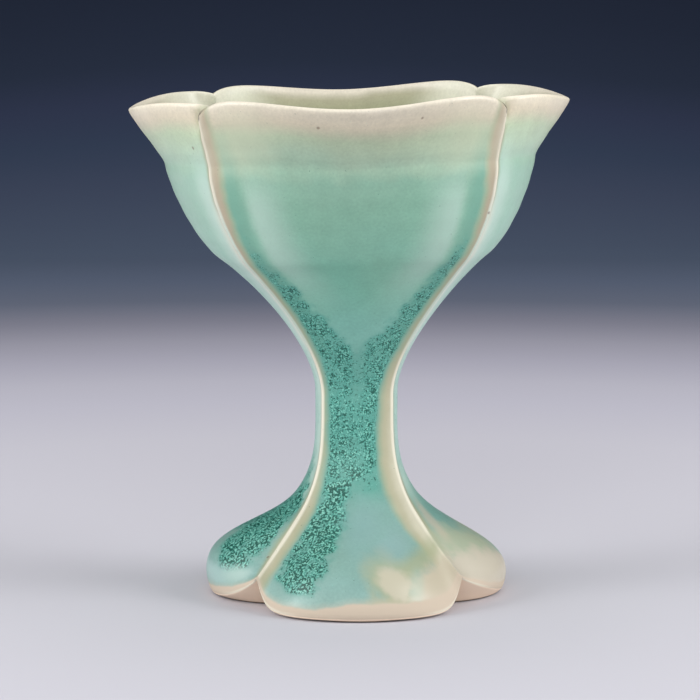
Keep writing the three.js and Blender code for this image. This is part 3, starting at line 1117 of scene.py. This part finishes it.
@dataclass
class Bowl(GlazedPiece):
    """The lobed bowl: seat, outside, rolled lip, inside and a rounded floor, in millimetres."""

    lip_wall: float = 1.9
    wall: float = 4.2
    floor_thickness: float = 8.0
    floor_start: float = 0.3
    seat_middle: float = 8.0
    outside_rows: tuple[int, int, int] = (62, 40, 30)
    inside_rows: tuple[int, int, int] = (20, 24, 18)
    lip_rows: int = 12
    floor_rows: int = 18

    def build(self) -> None:
        """Throws, presses and glazes the bowl."""
        outside = []
        for spans, rows in zip(self.press.outline.bowl(), self.outside_rows):
            outside += rings_along(spans, steps(0, 1, rows), self._skin)
        outside[0] = Ring(outside[0].lobe, outside[0].corner, self.press.crest_height, crisp=True)
        inner = self._inside(2, 1.0)
        lip = [self._lip(inner, math.pi * i / self.lip_rows) for i in range(self.lip_rows)]
        inside = []
        for which, lowest in ((2, 0.0), (1, 0.0), (0, self.floor_start)):
            inside += [self._inside(which, share) for share in steps(1, lowest, self.inside_rows[which])]
        seat = [flat_circle(reach, self.press.outline.slip_top, Skin.BARE) for reach in (0, self.seat_middle)]
        self.finish("glazed_bowl", [*seat, *outside, *lip, *inside, *self._floor()], "bowl", "glaze")

    def _skin(self, height: float) -> dict[str, float]:
        """The crest, cleft and hump of the outer skin at a height."""
        return {"crest": self.press.crest_height, **self.press.lip_shape(height)}

    def _wall_at(self, along: float) -> float:
        """The wall's thickness, from 0 along at the seat to 3 at the lip."""
        return lerp(self.wall, self.lip_wall, along / 3)

    def _inside(self, which: int, share: float) -> Ring:
        """A ring on the inner skin beside a place on one of the bowl's spans."""
        spans = self.press.outline.bowl()[which]
        sides = [span.inside(share, self._wall_at(which + share)) for span in spans]
        shape = self.press.lip_shape(spans[0].at(share).y)
        return Ring(*sides, **shape, spread=self.press.cleft_spread, skin=Skin.INSIDE)

    def _lip(self, inner: Ring, around: float) -> Ring:
        """A ring on the rolled lip, an angle round from its outer to its inner edge."""
        rolled = []
        for span, inner_edge in zip(self.press.outline.bowl()[-1], (inner.lobe, inner.corner)):
            middle = (span.at(1) + inner_edge) / 2
            up = span.heading(1) * (self.lip_wall / 2 * math.sin(around))
            rolled.append(middle + (span.at(1) - middle) * math.cos(around) + up)
        crest = self.press.crest_height * max(math.cos(around), 0)
        spread = lerp(1, self.press.cleft_spread, around / math.pi)
        shape = self.press.lip_shape(self.press.outline.lip_height)
        skin = Skin.INSIDE if around > math.pi / 2 else Skin.OUTSIDE
        return Ring(*rolled, crest=crest, **shape, spread=spread, skin=skin)

    def _floor(self) -> list[Ring]:
        """The rounded bottom of the inside, from the wall down and in to the axis."""
        floor_height = self.press.outline.slip_top + self.floor_thickness
        lines = []
        for span in self.press.outline.bowl()[0]:
            start = span.inside(self.floor_start, self._wall_at(self.floor_start))
            tangent = span.heading(self.floor_start)
            turn_reach = max(start.x - tangent.x * (start.y - floor_height) / tangent.y, start.x / 2)
            lines.append((start, Vector((turn_reach, floor_height)), Vector((0, floor_height))))
        places = [[rounded(*line, share) for line in lines] for share in steps(0, 1, self.floor_rows)]
        rings = [Ring(*place, skin=Skin.INSIDE) for place in places]
        return [*rings, flat_circle(0, floor_height, Skin.INSIDE)]


@dataclass
class Pedestal(GlazedPiece):
    """The hollow stem and petalled foot on its flat ring, in millimetres."""

    foot_wall: float = 5.0
    stem_wall: float = 5.4
    petal_undercut: float = 1.5
    notch_undercut: float = 13.7
    ring_width: float = 6.0
    hollow_lean: float = -10.0
    edge_softness: float = 0.7
    edge_end: float = 0.028
    foot_start: float = 0.03
    foot_rows: int = 58
    stem_rows: int = 36
    hollow_rows: tuple[int, int] = (22, 12)

    def build(self) -> None:
        """Throws, presses, cuts and glazes the pedestal."""
        outline = self.press.outline
        foot_spans, stem_spans = outline.spans()[:2]
        crest = {"crest": self.press.crest_height}
        sole = Ring(*(Vector((reach - self.edge_softness, 0)) for reach in self._flat_ring()), skin=Skin.BARE)
        foot = rings_along(foot_spans, steps(self.foot_start, 1, self.foot_rows), lambda _: crest)
        stem = rings_along(stem_spans, steps(0, 1, self.stem_rows), lambda _: crest)
        top = Ring(outline.lobe[2].at(), outline.corner[2].at(), **crest, crisp=True)
        rings = [sole, *self._wall(), *foot, *stem, top, *self._hollow(), sole]
        self.finish("glazed_pedestal", rings, "pedestal", "stem_glaze")

    def _flat_ring(self) -> tuple[float, float]:
        """Reach of the flat ring's outer edge, at mid lobe and corner."""
        outline = self.press.outline
        return outline.lobe[0].reach - self.petal_undercut, outline.corner[0].reach - self.notch_undercut

    def _wall(self) -> list[Ring]:
        """The slanted cut from the flat ring up to the edge of the petals, both edges softened."""
        paths = []
        for span, reach in zip(self.press.outline.spans()[0], self._flat_ring()):
            base, edge = Vector((reach, 0)), span.at(0)
            soft = (edge - base).normalized() * self.edge_softness
            paths.append((base, base + soft, edge - soft, edge, span.at(self.edge_end)))
        back = Vector((-self.edge_softness, 0))
        quarters, fifths = (0.25, 0.5, 0.75, 1.0), (0.2, 0.4, 0.6, 0.8, 1.0)
        made = [([rounded(base + back, base, low, at) for base, low, *_ in paths], 0.0) for at in quarters]
        made += [([low.lerp(high, at) for _, low, high, *_ in paths], 0.0) for at in fifths]
        made += [([rounded(high, edge, over, at) for *_, high, edge, over in paths], at) for at in fifths]
        rings = []
        for place, rise in made:
            skin = Skin.BARE if rise < 0.5 else Skin.OUTSIDE
            rings.append(Ring(*place, crest=self.press.crest_height * rise, skin=skin))
        return rings

    def _hollow(self) -> list[Ring]:
        """The open hollow from the bore at the joint down to the inner edge of the flat ring."""
        outline = self.press.outline
        bore = Place(outline.lobe[2].reach - self.stem_wall, outline.joint_height, 0)
        foot, stem = [], []
        for span, reach in zip(outline.spans()[0], self._flat_ring()):
            start = Place(reach - self.ring_width, 0, self.hollow_lean)
            knee = Place(*span.inside(1, self.foot_wall), outline.lobe[1].lean)
            foot.append(Span.between(start, knee, outline.lobe_fullness[0]))
            stem.append(Span.between(knee, bore, outline.lobe_fullness[1]))
        foot_rows, stem_rows = self.hollow_rows
        low = rings_along(foot, [*steps(1, 0, foot_rows), 0], lambda _: {"skin": Skin.BARE})
        high = rings_along(stem, steps(1, 0, stem_rows)[1:], lambda _: {"skin": Skin.BARE})
        return [flat_circle(bore.reach, bore.height, Skin.BARE, crisp=True), *high, *low]


@dataclass
class SlipBed(GlazedPiece):
    """The thin bed of slip that the bowl was set in, glazed over on the outside."""

    bore: float = 9.2
    rows: int = 3

    def build(self) -> None:
        """Presses the ring of slip, and glazes it like the stem round it."""
        outline = self.press.outline
        lobe, corner = outline.spans()[2]
        edge = []
        for count in range(self.rows + 1):
            at, crisp = count / self.rows, count in (0, self.rows)
            edge.append(Ring(lobe.at(at), corner.at(at), crest=self.press.crest_height, crisp=crisp))
        ends = (outline.joint_height, outline.slip_top)
        low, high = (flat_circle(self.bore, height, Skin.BARE, crisp=True) for height in ends)
        self.finish("glazed_slip_bed", [low, *edge, high, low], "slip_bed", "joint_glaze")


@dataclass(frozen=True)
class Softbox:
    """A soft studio lamp."""

    name: str
    place: tuple[float, float, float]
    aim: tuple[float, float, float]
    size: tuple[float, float]
    power: float

    def build(self) -> None:
        """Hangs the lamp and points it."""
        data = bpy.data.lights.new(self.name, "AREA")
        data.shape = "RECTANGLE"
        data.size, data.size_y = self.size
        data.energy = self.power
        lamp = in_scene(self.name, data)
        lamp.location = self.place
        towards = Vector(self.aim) - Vector(self.place)
        lamp.rotation_euler = towards.to_track_quat("-Z", "Y").to_euler()


@dataclass(frozen=True)
class Studio:
    """A pale sweep of floor and backdrop, soft lamps and the camera, in metres."""

    paper: Tones = (
        (0.0, (195, 193, 200)),
        (0.2, (198, 196, 204)),
        (0.35, (199, 197, 206)),
        (0.47, (195, 193, 205)),
        (0.545, (192, 190, 202)),
        (0.627, (181, 179, 193)),
        (0.718, (167, 165, 179)),
        (0.818, (142, 142, 157)),
        (0.93, (113, 120, 138)),
        (1.06, (103, 114, 136)),
        (1.255, (90, 103, 125)),
        (1.44, (71, 81, 104)),
        (1.51, (59, 71, 94)),
        (1.57, (54, 62, 86)),
        (1.62, (44, 53, 72)),
        (1.69, (38, 46, 64)),
        (1.8, (30, 37, 54)),
    )
    lamps: tuple[Softbox, ...] = (
        Softbox("top softbox", (0.0, 0.30, 1.25), (0, 0, 0.1), (1.1, 0.8), 3.0),
        Softbox("left softbox", (-1.05, -0.35, 0.50), (0, 0, 0.11), (0.55, 1.0), 9.8),
        Softbox("right softbox", (1.05, -0.30, 0.52), (0, 0, 0.11), (0.55, 1.0), 11.2),
        Softbox("front fill", (-0.25, -1.7, 0.85), (0, 0, 0.08), (1.2, 1.2), 9.6),
    )
    sweep_width: float = 14.0
    sweep_front: float = -7.0
    sweep_depth: float = 1.9
    sweep_height: float = 2.4
    sweep_radius: float = 0.7
    sweep_steps: int = 16
    paper_roughness: float = 0.9
    paper_gloss: float = 0.1
    sky_colour: tuple[float, float, float, float] = (0.97, 0.98, 1.0, 1.0)
    sky_strength: float = 0.5
    camera_place: tuple[float, float, float] = (-0.02757, -1.06724, 0.22449)
    camera_pitch: float = 7.3576
    camera_turn: float = -1.5
    focal_length: float = 155.57

    def build(self) -> None:
        """Builds the whole studio."""
        self._sweep()
        self._sky()
        self._camera()
        for lamp in self.lamps:
            lamp.build()

    def _sweep(self) -> None:
        """Makes the floor and backdrop as one bent sheet."""
        bm = bmesh.new()
        bend = self.sweep_depth - self.sweep_radius
        points = [(0, self.sweep_front, 0), (0, bend, 0)]
        for step in range(1, self.sweep_steps + 1):
            angle = math.pi / 2 * step / self.sweep_steps
            y = bend + self.sweep_radius * math.sin(angle)
            points.append((0, y, self.sweep_radius * (1 - math.cos(angle))))
        points.append((0, self.sweep_depth, self.sweep_height))
        verts = [bm.verts.new(point) for point in points]
        edges = [bm.edges.new(pair) for pair in zip(verts, verts[1:])]
        made = bmesh.ops.extrude_edge_only(bm, edges=edges)["geom"]
        pulled = [item for item in made if isinstance(item, bmesh.types.BMVert)]
        bmesh.ops.translate(bm, verts=pulled, vec=(self.sweep_width, 0, 0))
        bmesh.ops.translate(bm, verts=bm.verts[:], vec=(-self.sweep_width / 2, 0, 0))
        bmesh.ops.recalc_face_normals(bm, faces=bm.faces[:])
        if bm.faces[:][0].normal.z < 0:
            bmesh.ops.reverse_faces(bm, faces=bm.faces[:])
        sweep = smooth_sheet("sweep", bm)
        sweep.data.materials.append(self._paper())

    def _paper(self) -> bpy.types.Material:
        """The graduated paper of the sweep, pale round the vase and deepening away from it."""
        material = bpy.data.materials.new("studio paper")
        material.use_nodes = True
        tree = material.node_tree
        place = Signal(add_node(tree, "TexCoord").outputs["Object"])
        away = place.into("VectorMath", {0: place}, "Value", operation="LENGTH")
        paper = tree.nodes["Principled BSDF"].inputs
        feed(paper["Base Color"], away.tones(self.paper, self.paper[-1][0]))
        feed(paper["Roughness"], self.paper_roughness)
        feed(paper["Specular IOR Level"], self.paper_gloss)
        return material

    def _sky(self) -> None:
        """Lights the room evenly. Past the edge of the paper the camera sees its deepest tone."""
        world = bpy.data.worlds.new("studio room")
        world.use_nodes = True
        tree = world.node_tree
        room = tree.nodes["Background"]
        feed(room.inputs["Color"], self.sky_colour)
        feed(room.inputs["Strength"], self.sky_strength)
        seen = Signal(add_node(tree, "LightPath").outputs["Is Camera Ray"])
        dark = seen.into("Background", {"Color": linear(self.paper[-1][1]), "Strength": 1.0})
        choice = seen.into("MixShader", {0: seen, 1: Signal(room.outputs[0]), 2: dark})
        feed(tree.nodes["World Output"].inputs["Surface"], choice)
        bpy.context.scene.world = world

    def _camera(self) -> None:
        """Stands the camera where the photograph was taken from."""
        data = bpy.data.cameras.new("camera")
        data.sensor_width = 36
        data.lens = self.focal_length
        data.clip_start = 0.01
        camera = in_scene("camera", data)
        camera.location = self.camera_place
        camera.rotation_euler = (math.radians(90 - self.camera_pitch), 0, math.radians(self.camera_turn))
        bpy.context.scene.camera = camera


def main() -> None:
    """Builds the vase piece by piece, then the studio; each piece logs its face count and its CAD node's
    bounds.
    """
    logging.basicConfig(level=logging.INFO, format="%(name)s: %(message)s")
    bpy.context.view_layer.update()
    bpy.context.scene.view_settings.view_transform = "Standard"
    press = Press(Outline())
    kitchen = GlazeKitchen()
    for part in (Pedestal(press, kitchen), SlipBed(press, kitchen), Bowl(press, kitchen)):
        part.build()
    Studio().build()
    bpy.context.view_layer.update()


if __name__ == "__main__":
    main()
